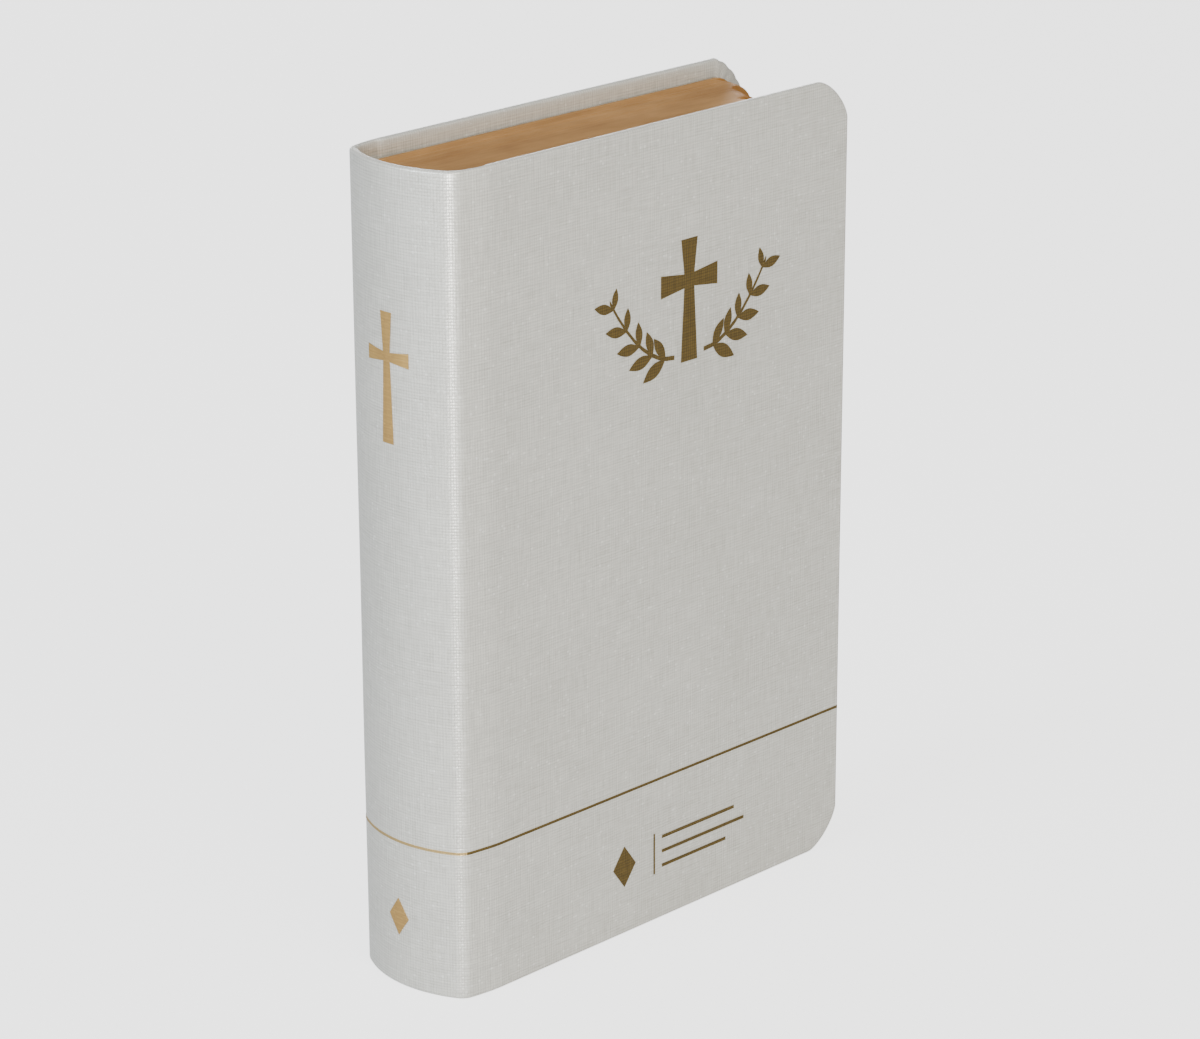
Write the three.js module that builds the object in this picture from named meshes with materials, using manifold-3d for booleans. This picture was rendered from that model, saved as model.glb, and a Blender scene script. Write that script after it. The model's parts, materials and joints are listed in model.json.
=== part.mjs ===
// A compact cloth-bound Bible standing on its tail: case, sewn text block and gold foil.
// Millimetres. +X runs from the spine to the fore-edge, the front cover faces -Y, +Z is up.
// Profiles are drawn with x = 0 near the spine's edge, and the finished group is centred on its footprint.

import * as THREE from 'three';
import * as BufferGeometryUtils from 'three/addons/utils/BufferGeometryUtils.js';
import Module from 'manifold-3d';

const wasm = await Module();
wasm.setup();

// ---- driving dimensions ----
const HEIGHT = 168; // head to tail of the case
const WIDTH = 110; // spine edge to fore-edge of the covers
const THICKNESS = 31; // over both covers' cloth
const SPINE_BULGE = 2.8; // how far the rounded spine stands behind x = 0
const SPINE_R = 25.8; // radius of the rounded spine
const SHOULDER_R = 4; // rounding between the spine and each cloth joint
const JOINT_SLOPE = THREE.MathUtils.degToRad(8); // the cloth joint dips this much towards the spine
const FLAT_FROM = 9; // x where the covers become flat
const CORNER_R = 8.5; // reach of the covers' rounded corners
const CORNER_ROUNDNESS = 1.5; // 2 would be a quarter circle and 1 a straight cut: the folded cloth lies between

const CLOTH = 0.4; // one thickness of cloth
const COVER = 1.6; // cloth, board and turned-in cloth
const TURN_IN = 13; // width of the cloth turned in
const FIT = 0.05; // room between flat layers
const GAP = 0.3; // room between curved or cut neighbours
const PAPER = 0.15; // pastedown
const FLYLEAF = 0.2;
const INLAY = 0.7; // card in the spine

const HINGE_X = 8; // axis of each cover's cloth joint
const BOARD_X = HINGE_X + 1.5; // the boards stop short of the joint

const SQUARE = 3.5; // how far the covers stand past the pages at head and tail
const BLOCK_FORE_X = 102.5; // fore-edge of the leaves, on average
const FORE_SWAY = 3; // how far the block's lean and hollow carry a leaf out or in from there
const BLOCK_HALF = 13.2; // half the thickness of all the leaves
const PAGE_CORNER_R = 7.2; // on average, and less where the leaves stand out
const CORNER_SWAY = 2.2;
const SECTIONS_PER_HALF = 7;
const LEAF_GAP = 0.06; // between neighbouring sections
const GUTTER_THICKNESS = 0.35; // each section thins to this at its joint
const GUTTER_LENGTH = 8;

const FOIL = 0.05; // thickness of foil, and its height over the cloth's face
const RULE_Z = 31;
const RULE_H = 0.6;

const EMBLEM_X = 63.4; // middle of the front ornament
const EMBLEM_Z = 131;
const SPINE_EMBLEM_Z = 126.5;
const FOOT_Z = 15;

const HALF = THICKNESS / 2;
const BLOCK_BOTTOM = SQUARE;
const BLOCK_TOP = HEIGHT - SQUARE;
const SECTION = BLOCK_HALF / SECTIONS_PER_HALF;

// ---- materials ----
const finish = (color, roughness, metalness = 0) => new THREE.MeshStandardMaterial({ color, roughness, metalness });
const clothFinish = finish(0xbdbcb6, 0.75);
const boardFinish = finish(0xa08c6c, 0.9);
const endpaperFinish = finish(0xefece4, 0.85);
const leafFinish = finish(0xf2eee2, 0.85);
const foldFinish = finish(0xe6dfcc, 0.9);
const foilFinish = finish(0x8a6a34, 0.4, 0.9);
const spineFoilFinish = finish(0xc9a25a, 0.35, 0.9);
const bandFinish = finish(0xe9e2d0, 0.8);
const threadFinish = finish(0xf4f1e8, 0.8);
const gauzeFinish = finish(0xe8e4d8, 0.95);
const kraftFinish = finish(0x9c7a50, 0.95);

// ---- helpers ----
function toSolid(geometry) {
  const plain = geometry.clone();
  plain.deleteAttribute('normal');
  plain.deleteAttribute('uv');
  const merged = BufferGeometryUtils.mergeVertices(plain, 1e-4);
  return new wasm.Manifold(new wasm.Mesh({
    numProp: 3,
    vertProperties: new Float32Array(merged.attributes.position.array),
    triVerts: new Uint32Array(merged.index.array),
  }));
}

function toGeometry(solid) {
  const mesh = solid.getMesh();
  const geometry = new THREE.BufferGeometry();
  geometry.setAttribute('position', new THREE.BufferAttribute(new Float32Array(mesh.vertProperties), 3));
  geometry.setIndex(new THREE.BufferAttribute(new Uint32Array(mesh.triVerts), 1));
  geometry.computeVertexNormals();
  return geometry;
}

const shapeOf = (points) => new THREE.Shape(points.map(([x, y]) => new THREE.Vector2(x, y)));

/** A solid with an XY outline, from z0 up to z1. */
function upright(shape, z0, z1) {
  const geometry = new THREE.ExtrudeGeometry(shape, { depth: z1 - z0, bevelEnabled: false, curveSegments: 6 });
  return geometry.translate(0, 0, z0);
}

/** A solid with an XZ outline, from y0 to y1. */
function sheet(shape, y0, y1, curveSegments = 5) {
  const geometry = new THREE.ExtrudeGeometry(shape, { depth: y1 - y0, bevelEnabled: false, curveSegments });
  return geometry.rotateX(Math.PI / 2).translate(0, y1, 0);
}

/** A box between two corners. */
function block(x0, x1, y0, y1, z0, z1) {
  const geometry = new THREE.BoxGeometry(x1 - x0, y1 - y0, z1 - z0);
  return geometry.translate((x0 + x1) / 2, (y0 + y1) / 2, (z0 + z1) / 2);
}

/** An XZ outline that is square at x0 and has rounded corners at its fore-edge x1. */
function foreEdgeShape(x0, x1, z0, z1, radius, roundness = 2) {
  const steps = 6;
  const low = [];
  const high = [];
  for (let i = 0; i <= steps; i++) {
    const angle = (Math.PI / 2) * (i / steps);
    const out = radius * Math.sin(angle) ** (2 / roundness);
    const along = radius * Math.max(Math.cos(angle), 0) ** (2 / roundness);
    low.push([x1 - radius + out, z0 + radius - along]);
    high.push([x1 - radius + out, z1 - radius + along]);
  }
  return shapeOf([[x0, z0], ...low, ...high.reverse(), [x0, z1]]);
}

// ---- the spine's profile ----
const arcCentre = new THREE.Vector2(SPINE_R - SPINE_BULGE, 0);
const slopeDown = new THREE.Vector2(-Math.cos(JOINT_SLOPE), Math.sin(JOINT_SLOPE)); // along the joint, to the spine
const inwards = new THREE.Vector2(Math.sin(JOINT_SLOPE), Math.cos(JOINT_SLOPE)); // square to it, into the book

/** Centre of the shoulder's arc at the front: inside the joint's line and inside the spine's arc. */
function shoulderCentre() {
  const start = new THREE.Vector2(FLAT_FROM, -HALF).addScaledVector(inwards, SHOULDER_R);
  const from = start.clone().sub(arcCentre);
  const b = slopeDown.dot(from);
  const reach = -b + Math.sqrt(b * b - from.lengthSq() + (SPINE_R - SHOULDER_R) ** 2);
  return start.addScaledVector(slopeDown, reach);
}
const shoulder = shoulderCentre();
const shoulderAngle = Math.atan2(-shoulder.y, -(shoulder.x - arcCentre.x)); // from -X, towards the front

/** Points along the case at a depth below its outside, from the front joint round the spine to the back. */
function profile(depth, xEnd) {
  const front = [];
  const startY = -HALF + (FLAT_FROM - xEnd) * Math.tan(JOINT_SLOPE) + depth / Math.cos(JOINT_SLOPE);
  front.push([xEnd, startY]);
  const from = -Math.PI / 2 - JOINT_SLOPE;
  const to = -Math.PI + shoulderAngle;
  const shoulderSteps = 5;
  for (let i = 0; i <= shoulderSteps; i++) {
    const a = from + ((to - from) * i) / shoulderSteps;
    front.push([shoulder.x + (SHOULDER_R - depth) * Math.cos(a), shoulder.y + (SHOULDER_R - depth) * Math.sin(a)]);
  }
  return [...front, ...arc(depth, shoulderAngle), ...front.slice().reverse().map(([x, y]) => [x, -y])];
}

/** Points on the spine's arc at a depth, strictly between its two ends at +-angle. */
function arc(depth, angle, steps = 12) {
  const points = [];
  for (let i = 1; i < steps; i++) {
    const a = angle * (1 - (2 * i) / steps);
    points.push([arcCentre.x - (SPINE_R - depth) * Math.cos(a), -(SPINE_R - depth) * Math.sin(a)]);
  }
  return points;
}

/** A curved strip that follows the whole case profile between two depths. */
const wrap = (outer, inner, xEnd, z0, z1) =>
  upright(shapeOf([...profile(outer, xEnd), ...profile(inner, xEnd).reverse()]), z0, z1);

/** A curved strip on the spine's arc only, as wide as an angle to each side. */
const strip = (outer, inner, angle, z0, z1) =>
  upright(shapeOf([...arc(outer, angle), ...arc(inner, angle).reverse()]), z0, z1);

// ---- scene graph ----
const bible = new THREE.Group();
bible.position.x = -(WIDTH - SPINE_BULGE - 2 * FOIL) / 2; // the foil stands proud of the spine

function add(name, geometry, material) {
  const mesh = new THREE.Mesh(geometry, material);
  mesh.name = name;
  bible.add(mesh);
}

// ---- spine ----
const INLAY_OUT = CLOTH + FIT;
const FLAP_OUT = INLAY_OUT + INLAY + FIT;
const LINING_OUT = COVER + 0.2;
const MULL_OUT = LINING_OUT + PAPER + FIT;
const THREAD_OUT = MULL_OUT + 0.2 + FIT;
const FOLD_OUT = THREAD_OUT + 0.15 + FIT;
const SPINE_END = HINGE_X - 0.1;
const ARC_SHARE = 0.92; // the layers on the spine stop short of the shoulders

function spineCloth() {
  const angle = shoulderAngle * 0.98;
  const flap = (z0, z1) => toSolid(strip(FLAP_OUT, COVER, angle, z0, z1));
  const cap = (z0, z1) => toSolid(strip(CLOTH / 2, COVER, angle, z0, z1));
  return toGeometry(toSolid(wrap(0, CLOTH, SPINE_END, 0, HEIGHT))
    .add(cap(0, CLOTH)).add(cap(HEIGHT - CLOTH, HEIGHT))
    .add(flap(CLOTH / 2, TURN_IN)).add(flap(HEIGHT - TURN_IN, HEIGHT - CLOTH / 2)));
}
add('spine_cloth', spineCloth(), clothFinish);
const inlayRoom = CLOTH + FIT;
add('spine_inlay', strip(INLAY_OUT, INLAY_OUT + INLAY, shoulderAngle * ARC_SHARE, inlayRoom, HEIGHT - inlayRoom),
  boardFinish);
add('spine_lining', strip(LINING_OUT, LINING_OUT + PAPER, shoulderAngle * ARC_SHARE, 6, 162), kraftFinish);
add('spine_mull', strip(MULL_OUT, MULL_OUT + 0.2, shoulderAngle * ARC_SHARE, 18, 150), gauzeFinish);

const THREAD_ROWS = [34, 84, 134];
THREAD_ROWS.forEach((z, i) => {
  const thread = strip(THREAD_OUT, THREAD_OUT + 0.15, shoulderAngle * ARC_SHARE, z - 0.6, z + 0.6);
  add(`sewing_thread_${i + 1}`, thread, threadFinish);
});

/** A padded bead that follows the folds across the spine. */
function bead(z) {
  const radius = 0.85;
  const path = new THREE.CatmullRomCurve3(arc(FOLD_OUT + 0.9, shoulderAngle, 12)
    .map(([x, y]) => new THREE.Vector3(x, y, z)));
  const section = new THREE.Shape().absarc(0, 0, radius, 0, 2 * Math.PI);
  return new THREE.ExtrudeGeometry(section, { steps: 14, extrudePath: path, curveSegments: 5 });
}
const BEAD_RISE = 1.1;
add('headband', bead(BLOCK_TOP + BEAD_RISE), bandFinish);
add('tailband', bead(BLOCK_BOTTOM - BEAD_RISE), bandFinish);

// ---- covers and endpapers, side = -1 at the front and 1 at the back ----
const depthSpan = (side, outer, inner) =>
  (side < 0 ? [-HALF + outer, -HALF + inner] : [HALF - inner, HALF - outer]);

/** A sheet of a cover between two depths, from x0 to an outline a little way inside the cover's own. */
function coverSheet(side, outer, inner, x0, inset, radius = CORNER_R - inset) {
  const shape = foreEdgeShape(x0, WIDTH - inset, inset, HEIGHT - inset, radius, CORNER_ROUNDNESS);
  return sheet(shape, ...depthSpan(side, outer, inner));
}

function coverCloth(side) {
  const past = HINGE_X - 5;
  const whole = toSolid(coverSheet(side, 0, COVER, HINGE_X + 0.1, 0));
  const boardRoom = toSolid(coverSheet(side, CLOTH, COVER - CLOTH, past, CLOTH));
  const window = toSolid(coverSheet(side, CLOTH + FIT, COVER + 1, past, TURN_IN, 2));
  const jointRoom = toSolid(sheet(shapeOf([[past, -1], [BOARD_X, -1], [BOARD_X, HEIGHT + 1], [past, HEIGHT + 1]]),
    ...depthSpan(side, CLOTH, COVER + 1)));
  return toGeometry(whole.subtract(boardRoom).subtract(window).subtract(jointRoom));
}

/** How far out the leaves at y stand, from -1 to 1: furthest near the back, and furthest in past the middle. */
const swayAt = (y) => Math.sin(((y - 2.5) / 19) * Math.PI);

/** Outline of a leaf at y, from x0 to its fore-edge. */
const pageShape = (x0, y) => foreEdgeShape(x0, BLOCK_FORE_X + FORE_SWAY * swayAt(y), BLOCK_BOTTOM, BLOCK_TOP,
  PAGE_CORNER_R - CORNER_SWAY * swayAt(y));

for (const [prefix, side] of [['front', -1], ['back', 1]]) {
  add(`${prefix}_cover_cloth`, coverCloth(side), clothFinish);
  const edge = CLOTH + FIT;
  add(`${prefix}_board`, coverSheet(side, edge, COVER - edge, BOARD_X, edge), boardFinish);
  const margin = 3.5;
  const pasted = COVER + FIT / 2;
  add(`${prefix}_pastedown`, coverSheet(side, pasted, pasted + PAPER, BOARD_X, margin), endpaperFinish);
  const flyleafOut = HALF - BLOCK_HALF - GAP / 2 - FLYLEAF;
  const outline = pageShape(BOARD_X, side * BLOCK_HALF);
  const flyleaf = sheet(outline, ...depthSpan(side, flyleafOut, flyleafOut + FLYLEAF));
  add(`${prefix}_flyleaf`, flyleaf, endpaperFinish);
}

// ---- text block: folds stay on the spine, leaves turn ----
const insideCase = toSolid(upright(shapeOf(profile(FOLD_OUT, HINGE_X - GAP)), BLOCK_BOTTOM, BLOCK_TOP));

function fold(y0, y1) {
  return toGeometry(insideCase.intersect(toSolid(block(-5, HINGE_X, y0, y1, 0, HEIGHT))));
}

function leaves(side, outer) {
  const inner = outer - SECTION + LEAF_GAP;
  const tapered = shapeOf([
    [HINGE_X, side * outer],
    [WIDTH, side * outer],
    [WIDTH, side * inner],
    [HINGE_X + GUTTER_LENGTH, side * inner],
    [HINGE_X, side * (outer - GUTTER_THICKNESS)],
  ]);
  const outline = sheet(pageShape(HINGE_X - 1, side * (outer - SECTION / 2)), -HALF, HALF);
  return toGeometry(toSolid(upright(tapered, 0, HEIGHT)).intersect(toSolid(outline)));
}

const sectionCount = 2 * SECTIONS_PER_HALF;
for (let i = 0; i < sectionCount; i++) {
  const side = i < SECTIONS_PER_HALF ? -1 : 1;
  const fromCover = side < 0 ? i : sectionCount - 1 - i;
  const outer = BLOCK_HALF - fromCover * SECTION;
  const label = String(i + 1).padStart(2, '0');
  const low = -BLOCK_HALF + i * SECTION;
  add(`section_${label}_fold`, fold(low + LEAF_GAP / 2, low + SECTION - LEAF_GAP / 2), foldFinish);
  add(`section_${label}_leaves`, leaves(side, outer), leafFinish);
}

// ---- gold foil ----
const rule = (side) => block(HINGE_X + 0.1, WIDTH, ...depthSpan(side, -2 * FOIL, -FOIL), RULE_Z, RULE_Z + RULE_H);
add('front_rule', rule(-1), foilFinish);
add('back_rule', rule(1), foilFinish);
add('spine_rule', wrap(-2 * FOIL, -FOIL, SPINE_END, RULE_Z, RULE_Z + RULE_H), spineFoilFinish);

/** Outline of a Latin cross whose arms widen a little at their ends. */
function crossPoints(height, span, narrow, wide) {
  const arm = height * 0.16; // height of the crossing above the middle
  const [n, w, s, t, b] = [narrow / 2, wide / 2, span / 2, height / 2, -height / 2];
  return [[-n, arm - n], [-n, b], [-w, b], [w, b], [n, b], [n, arm - n], [s, arm - w], [s, arm + w],
    [n, arm + n], [w, t], [-w, t], [-n, arm + n], [-s, arm + w], [-s, arm - w]]
    .filter(([x, z]) => !(Math.abs(x) === n && z === b));
}

/** A leaf's outline from its foot, pointing along an angle. */
function leafPoints(x, z, angle, length, width) {
  const points = [];
  const steps = 8;
  for (const turn of [1, -1]) {
    for (let i = 0; i < steps; i++) {
      const t = turn > 0 ? i / steps : 1 - i / steps;
      const w = turn * width * 0.5 * Math.sin(Math.PI * t);
      const along = t * length;
      points.push([x + along * Math.cos(angle) - w * Math.sin(angle), z + along * Math.sin(angle)
        + w * Math.cos(angle)]);
    }
  }
  return points;
}

/** A branch in XZ that rises from (x, z): a curved stem with pairs of leaves, as one solid. */
function branch({ x, z, length, rise, side, pairs, leaf, y0, y1 }) {
  const stemHalf = 0.45;
  const at = (t) => [x + side * length * t, z + rise * t * t];
  const steps = 8;
  const low = [];
  const high = [];
  for (let i = 0; i <= steps; i++) {
    const [px, pz] = at(i / steps);
    low.push([px, pz - stemHalf]);
    high.push([px, pz + stemHalf]);
  }
  let solid = toSolid(sheet(shapeOf([...low, ...high.reverse()].reverse()), y0, y1));
  for (let i = 0; i < pairs; i++) {
    const t = (i + 0.7) / pairs;
    const [px, pz] = at(t);
    const lean = Math.atan2(2 * rise * t, side * length);
    for (const turn of [-1, 1]) {
      const angle = lean + turn * side * 0.75;
      const size = leaf * (1 - 0.3 * t) * (turn > 0 ? 0.8 : 1);
      solid = solid.add(toSolid(sheet(shapeOf(leafPoints(px, pz, angle, size, size * 0.38)), y0, y1)));
    }
  }
  return solid;
}

const [faceY0, faceY1] = depthSpan(-1, -2 * FOIL, -FOIL);
const placed = (points, x, z) => shapeOf(points.map(([px, pz]) => [x + px, z + pz]));

add('front_cross', sheet(placed(crossPoints(25, 16, 2.8, 4.6), EMBLEM_X, EMBLEM_Z), faceY0, faceY1), foilFinish);
for (const [name, side] of [['left', -1], ['right', 1]]) {
  const spray = { x: EMBLEM_X + side * 4.2, z: EMBLEM_Z - 11, length: 18, rise: 15, side, pairs: 5, leaf: 7.6 };
  add(`front_branch_${name}`, toGeometry(branch({ ...spray, y0: faceY0, y1: faceY1 })), foilFinish);
}

/** Foil on the round spine: a YZ outline pushed through the skin that lies just over the cloth. */
function spineFoil(points, z) {
  const skin = toSolid(strip(-2 * FOIL, -FOIL, shoulderAngle * 0.9, 1, HEIGHT - 1));
  const stamp = sheet(placed(points, 0, z), -6, 6).rotateZ(Math.PI / 2);
  return toGeometry(skin.intersect(toSolid(stamp)));
}
add('spine_cross', spineFoil(crossPoints(26, 11, 1.8, 3), SPINE_EMBLEM_Z), spineFoilFinish);
const lozenge = (width, height) => [[0, -height / 2], [width / 2, 0], [0, height / 2], [-width / 2, 0]];
add('spine_foot_lozenge', spineFoil(lozenge(5.5, 8), FOOT_Z), spineFoilFinish);

const FOOT_X = 45;
const FOOT_H = 9;
add('front_foot_lozenge', sheet(placed(lozenge(6.5, FOOT_H), FOOT_X, FOOT_Z), faceY0, faceY1), foilFinish);
const bar = (x0, x1, z0, z1) => block(x0, x1, faceY0, faceY1, z0, z1);
add('front_foot_bar', bar(53.5, 53.9, FOOT_Z - FOOT_H / 2, FOOT_Z + FOOT_H / 2), foilFinish);
[19, 24.5, 21.5].forEach((length, i) => {
  const z = FOOT_Z - 3.2 + 3.2 * i;
  add(`front_foot_rule_${i + 1}`, bar(56, 56 + length, z - 0.35, z + 0.35), foilFinish);
});

export default bible;
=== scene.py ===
"""A compact Bible in white linen cloth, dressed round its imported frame.

The case is a skin of book cloth that wraps two boards and a round spine, the text block is made of sewn
sections with gilt edges, and gold foil is stamped on the cloth. Every length is in metres, in the frame of
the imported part: +X from the spine to the fore-edge, -Y the way the front cover faces, +Z up to the head.
"""

import json
import logging
import math
from dataclasses import dataclass, field
from enum import Enum
from functools import reduce
from typing import Callable, Iterable, Sequence

import bmesh
import bpy
from mathutils import Matrix, Vector, noise


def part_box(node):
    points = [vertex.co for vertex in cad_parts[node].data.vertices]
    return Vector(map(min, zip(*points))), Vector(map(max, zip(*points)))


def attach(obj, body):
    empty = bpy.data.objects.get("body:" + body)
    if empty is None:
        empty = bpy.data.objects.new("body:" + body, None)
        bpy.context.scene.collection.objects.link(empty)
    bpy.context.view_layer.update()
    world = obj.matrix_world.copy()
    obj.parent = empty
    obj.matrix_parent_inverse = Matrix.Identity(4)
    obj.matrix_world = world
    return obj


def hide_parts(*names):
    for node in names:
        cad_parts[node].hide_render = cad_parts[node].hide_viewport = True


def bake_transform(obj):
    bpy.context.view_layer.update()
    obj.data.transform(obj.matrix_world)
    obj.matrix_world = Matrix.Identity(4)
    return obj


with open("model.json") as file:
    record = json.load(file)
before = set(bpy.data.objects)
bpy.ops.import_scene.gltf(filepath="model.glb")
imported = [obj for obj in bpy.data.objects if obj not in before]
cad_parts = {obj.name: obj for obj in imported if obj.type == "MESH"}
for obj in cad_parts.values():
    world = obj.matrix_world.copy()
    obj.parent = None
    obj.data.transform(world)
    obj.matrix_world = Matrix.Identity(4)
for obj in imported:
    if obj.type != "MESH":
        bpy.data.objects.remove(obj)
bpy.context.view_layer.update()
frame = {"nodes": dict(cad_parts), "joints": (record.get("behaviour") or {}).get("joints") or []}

MM = 0.001
ROOT = "spine_and_folds"
log = logging.getLogger("bible")

Point2 = tuple[float, float]
Colour = tuple[float, float, float, float]
Node = bpy.types.Node
Socket = bpy.types.NodeSocket


def srgb(red: int, green: int, blue: int) -> Colour:
    """Turns a display colour of 0 to 255 into a linear one.

    Args:
        red: Red, 0 to 255.
        green: Green, 0 to 255.
        blue: Blue, 0 to 255.

    Returns:
        The linear colour, with full alpha.
    """
    linear = [((c / 255 + 0.055) / 1.055) ** 2.4 if c > 10 else c / 255 / 12.92 for c in (red, green, blue)]
    return (*linear, 1.0)


class Side(Enum):
    """A cover's side of the book. The value is the sign of Y there."""

    FRONT = -1
    BACK = 1

    @property
    def label(self) -> str:
        """The word used in node, body and joint names."""
        return self.name.lower()


# ----------------------------------------------------------------------
# Shader groups
# ----------------------------------------------------------------------


class NodeWriter:
    """Adds nodes to a tree and links them in one call."""

    def __init__(self, tree: bpy.types.NodeTree) -> None:
        """Keeps the tree that nodes are added to."""
        self.tree = tree
        self.column = 0

    def add(self, kind: str, settings: dict | None = None, **inputs: object) -> Node:
        """Adds one node.

        Args:
            kind: The node's type name.
            settings: Properties to set on the node.
            **inputs: What its input sockets take, written as feed reads it.

        Returns:
            The new node.
        """
        node = self.tree.nodes.new(kind)
        node.location = (180 * self.column, -120 * (self.column % 5))
        self.column += 1
        for key, value in (settings or {}).items():
            setattr(node, key, value)
        self.feed(node, **inputs)
        return node

    def feed(self, node: Node, **inputs: object) -> None:
        """Links or sets a node's input sockets.

        Args:
            node: The node.
            **inputs: Socket names, with spaces as underscores, or i0, i1 ... for a socket's number. A value
                is a socket to link from, or the plain value to set.
        """
        for key, value in inputs.items():
            numbered = key[0] == "i" and key[1:].isdigit()
            socket = node.inputs[int(key[1:]) if numbered else key.replace("_", " ")]
            if isinstance(value, Socket):
                self.tree.links.new(value, socket)
            else:
                socket.default_value = value

    def math(self, operation: str, first: object, second: object = 0.0, third: object = 0.0) -> Socket:
        """A Math node's result."""
        return self.add("ShaderNodeMath", {"operation": operation}, i0=first, i1=second, i2=third).outputs[0]

    def plus(self, first: object, second: object) -> Socket:
        """The sum of two values."""
        return self.math("ADD", first, second)

    def times(self, first: object, second: object) -> Socket:
        """The product of two values."""
        return self.math("MULTIPLY", first, second)

    def weighted(self, *terms: tuple[object, float]) -> Socket:
        """The sum of values, each times its weight."""
        return reduce(self.plus, [self.times(value, weight) for value, weight in terms])

    def mix(self, factor: object, first: object, second: object) -> Socket:
        """A colour mix's result."""
        node = self.add("ShaderNodeMix", {"data_type": "RGBA"}, i0=factor, i6=first, i7=second)
        return node.outputs[2]

    def range(self, value: object, low: float, high: float, to_low: float, to_high: float) -> Socket:
        """A value carried from one range to another, and held at its ends."""
        node = self.add("ShaderNodeMapRange", None, i0=value, i1=low, i2=high, i3=to_low, i4=to_high)
        return node.outputs[0]

    def noise(self, vector: object, scale: float, detail: float = 2.0, rough: float = 0.5) -> Socket:
        """A noise texture's value."""
        texture = {"Vector": vector, "Scale": scale, "Detail": detail, "Roughness": rough}
        return self.add("ShaderNodeTexNoise", None, **texture).outputs[0]

    def stretched(self, vector: object, scale: Sequence[float]) -> Socket:
        """A vector multiplied axis by axis."""
        settings = {"operation": "MULTIPLY"}
        return self.add("ShaderNodeVectorMath", settings, i0=vector, i1=tuple(scale)).outputs[0]

    def group(self, tree: bpy.types.NodeTree, **inputs: object) -> Node:
        """A shader group's node."""
        return self.add("ShaderNodeGroup", {"node_tree": tree}, **inputs)


def shader_group(name: str, inputs: dict[str, object], outputs: dict[str, str]) -> tuple:
    """Starts a shader node group.

    Args:
        name: The group's name.
        inputs: Input names, each with its default: a number makes a float socket and a tuple a vector.
        outputs: Output names, each with its socket type.

    Returns:
        The tree, its writer, and its input and output nodes.
    """
    tree = bpy.data.node_groups.new(name, "ShaderNodeTree")
    for label, default in inputs.items():
        kind = "NodeSocketVector" if isinstance(default, tuple) else "NodeSocketFloat"
        socket = tree.interface.new_socket(label, in_out="INPUT", socket_type=kind)
        socket.default_value = default
    for label, kind in outputs.items():
        tree.interface.new_socket(label, in_out="OUTPUT", socket_type=kind)
    writer = NodeWriter(tree)
    return tree, writer, writer.add("NodeGroupInput"), writer.add("NodeGroupOutput")


def linen_weave_group() -> bpy.types.NodeTree:
    """Plain weave of uneven linen threads.

    Returns:
        A group that takes a place on the cloth in millimetres, the thread pitch and how far the threads
        waver, and puts out the threads' height, the cloth's mottling and a sparse mask of painted highlights.
    """
    tree, w, start, end = shader_group(
        "linen_weave",
        {"Place": (0.0, 0.0, 0.0), "Pitch": 0.6, "Slub": 0.25},
        {"Height": "NodeSocketFloat", "Mottle": "NodeSocketFloat", "Glint": "NodeSocketFloat"},
    )
    place, pitch, slub = start.outputs["Place"], start.outputs["Pitch"], start.outputs["Slub"]
    split = w.add("ShaderNodeSeparateXYZ", None, i0=place)
    waver = w.noise(place, 0.55, 3.0)
    offset = w.times(w.math("SUBTRACT", waver, 0.5), slub)
    cells = []
    for axis in (0, 1):
        thread = w.plus(w.math("DIVIDE", split.outputs[axis], pitch), offset)
        arch = w.math("SINE", w.times(w.math("FRACT", thread), math.pi))
        cells.append((w.math("FLOOR", thread), w.math("POWER", arch, 0.6)))
    (warp_cell, warp), (weft_cell, weft) = cells
    odd = w.math("ABSOLUTE", w.math("MODULO", w.plus(warp_cell, weft_cell), 2.0))
    over = w.times(warp, w.math("MULTIPLY_ADD", weft, 0.45, 0.55))
    under = w.times(weft, w.math("MULTIPLY_ADD", warp, 0.45, 0.55))
    choice = w.add("ShaderNodeMix", {"data_type": "FLOAT"}, i0=odd, i2=over, i3=under).outputs[0]
    warp_slub = w.noise(w.stretched(place, (2.6, 0.16, 1.0)), 1.0, 3.0)
    weft_slub = w.noise(w.stretched(place, (0.16, 2.6, 1.0)), 1.0, 3.0)
    slubs = w.plus(warp_slub, weft_slub)
    height = w.weighted((choice, 0.8), (slubs, 0.85))
    cell = w.add("ShaderNodeCombineXYZ", None, i0=warp_cell, i1=weft_cell).outputs[0]
    speck = w.add("ShaderNodeTexWhiteNoise", {"noise_dimensions": "2D"}, Vector=cell).outputs[0]
    # Sparse fibres on top of the threads, where the cloth paints a highlight.
    painted_glint = w.times(w.range(speck, 0.97, 0.99, 0.0, 0.45), choice)
    cloud = w.noise(place, 0.03, 4.0, 0.55)
    grain = w.noise(place, 1.5, 3.0, 0.7)
    mottle = w.weighted((slubs, 0.2), (cloud, 0.3), (grain, 0.3))
    w.feed(end, Height=height, Mottle=mottle, Glint=painted_glint)
    return tree


def leaf_lines_group() -> bpy.types.NodeTree:
    """The edges of many thin leaves side by side.

    Returns:
        A group that takes a place in the block in millimetres and puts out the leaves' height and shade.
    """
    tree, w, start, end = shader_group(
        "leaf_lines", {"Place": (0.0, 0.0, 0.0)}, {"Height": "NodeSocketFloat", "Shade": "NodeSocketFloat"})
    place = start.outputs["Place"]
    fine = w.noise(w.stretched(place, (0.012, 14.0, 0.012)), 1.0, 3.0, 0.7)
    groups = w.noise(w.stretched(place, (0.004, 1.3, 0.004)), 1.0, 2.0, 0.6)
    cloud = w.noise(w.stretched(place, (0.06, 0.16, 0.06)), 1.0, 3.0, 0.55)
    height = w.weighted((fine, 0.5), (groups, 0.5))
    shade = w.weighted((fine, 0.22), (groups, 0.14), (cloud, 0.64))
    w.feed(end, Height=height, Shade=shade)
    return tree


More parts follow.
